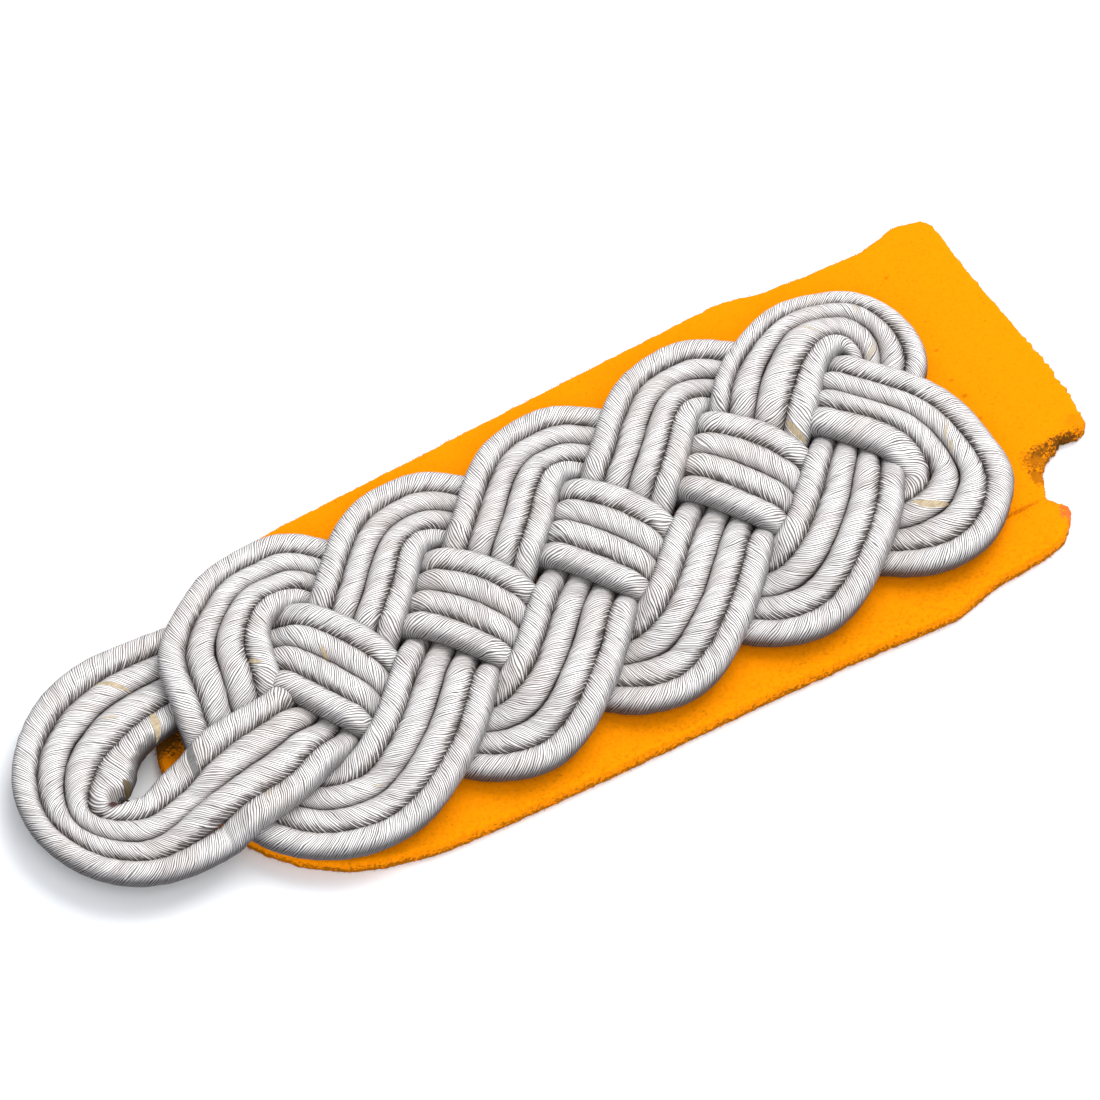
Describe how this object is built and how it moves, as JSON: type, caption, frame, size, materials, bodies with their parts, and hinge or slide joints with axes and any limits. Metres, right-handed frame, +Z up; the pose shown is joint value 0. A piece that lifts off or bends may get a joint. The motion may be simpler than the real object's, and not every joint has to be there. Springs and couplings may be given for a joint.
{
  "type": "plaited shoulder board",
  "caption": "Flat shoulder board plaited from parallel silver wire-wrapped cords with a buttonhole loop, sewn on a golden-yellow wool felt underlay with a ragged sleeve end.",
  "frame": {"origin": "middle of the board's bounding box in X and Y, on the surface that the felt lies on", "axes": "+X from the buttonhole loop to the sleeve end, +Y to the board's far edge as the picture shows it, +Z up out of the plait"},
  "size_m": [0.1298, 0.0494, 0.0078],
  "materials": {
    "felt": "matt wool felt with a fuzzy nap",
    "silver_wire": "fine silver wire wound round a cord core, satin, with tarnish in its valleys"
  },
  "bodies": {
    "root": {"underlay": "felt", "braid_cord_1": "silver_wire", "braid_cord_2": "silver_wire", "braid_cord_3": "silver_wire", "braid_cord_4": "silver_wire"}
  },
  "joints": []
}
